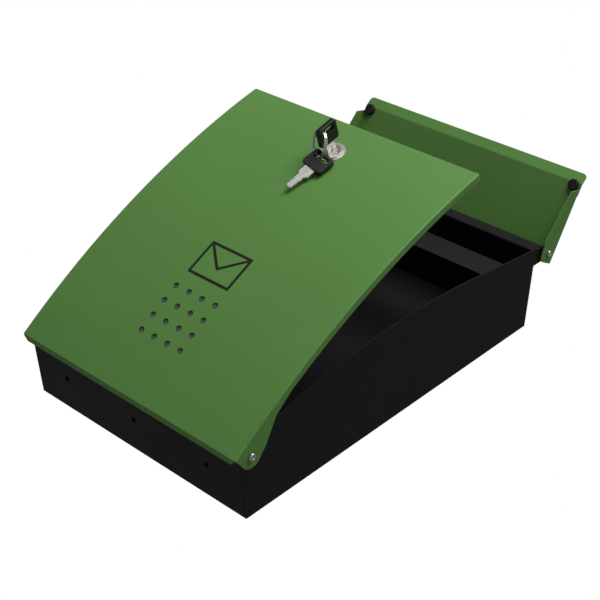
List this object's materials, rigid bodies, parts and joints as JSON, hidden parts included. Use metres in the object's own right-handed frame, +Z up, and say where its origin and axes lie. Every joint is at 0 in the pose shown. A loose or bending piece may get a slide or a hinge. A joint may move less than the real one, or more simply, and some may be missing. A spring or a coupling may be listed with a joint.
{
  "type": "wall mounted mailbox",
  "caption": "Flat wall mailbox with a curved hinged front door, cam lock with keys on a ring, vent holes and a hinged letter-slot flap.",
  "frame": {"origin": "centre of the four wall-mount holes, on the rear face of the back plate", "axes": "+Z up as the mailbox hangs on a wall, +Y into the wall, +X to the right seen from the front; the door and flap face -Y"},
  "size_m": [0.2606, 0.21, 0.4424],
  "materials": {
    "black_paint": "satin black powder coat with a fine texture",
    "green_paint": "satin leaf-green powder coat with a fine texture",
    "bright_rivet": "bright dimpled rivet heads",
    "grey_backing": "dull dark grey sheet",
    "black_print": "black screen print",
    "lock_chrome": "chrome plated zinc casting",
    "zinc": "plain zinc plated steel",
    "key_plastic": "black moulded plastic",
    "key_steel": "nickel plated key blade",
    "ring_steel": "bright spring steel wire",
    "black_rubber": "soft black rubber"
  },
  "bodies": {
    "mailbox_body": {"back_plate": "black_paint", "side_wall_left": "black_paint", "side_wall_right": "black_paint", "bottom_wall": "black_paint", "top_wall": "black_paint", "cross_bar": "black_paint", "door_rivets": "bright_rivet", "flap_rivets": "bright_rivet"},
    "door": {"door_panel": "green_paint", "vent_backing": "grey_backing", "envelope_symbol": "black_print", "lock_housing": "lock_chrome", "lock_nut": "zinc"},
    "lock_core": {"lock_plug": "lock_chrome", "lock_cam": "zinc", "cam_screw": "zinc", "key_a_head": "key_plastic", "key_a_blade": "key_steel"},
    "ring": {"key_ring": "ring_steel"},
    "second_key": {"key_b_head": "key_plastic", "key_b_blade": "key_steel"},
    "flap": {"flap_panel": "green_paint", "flap_bumpers": "black_rubber"}
  },
  "joints": [
    {"name": "door_hinge", "type": "hinge", "parent": "mailbox_body", "child": "door", "pos_m": [0, -0.0583, -0.1737], "axis": [1, 0, 0], "range_deg": [-20.8, 50]},
    {"name": "flap_hinge", "type": "hinge", "parent": "mailbox_body", "child": "flap", "pos_m": [0, -0.066, 0.1985], "axis": [1, 0, 0], "range_deg": [-72, 114.9]},
    {"name": "lock_turn", "type": "hinge", "parent": "door", "child": "lock_core", "pos_m": [0, -0.17917, 0.05587], "axis": [0, -0.9656, -0.2599], "range_deg": [0, 90]},
    {"name": "ring_swing", "type": "hinge", "parent": "lock_core", "child": "ring", "pos_m": [0, -0.20281, 0.04596], "axis": [-0.8821, -0.1224, 0.4548], "range_deg": [0, 85]},
    {"name": "second_key_swing", "type": "hinge", "parent": "ring", "child": "second_key", "pos_m": [0.00251, -0.18156, 0.03913], "axis": [-0.8033, 0.5449, 0.2404], "range_deg": [0, 35]}
  ]
}
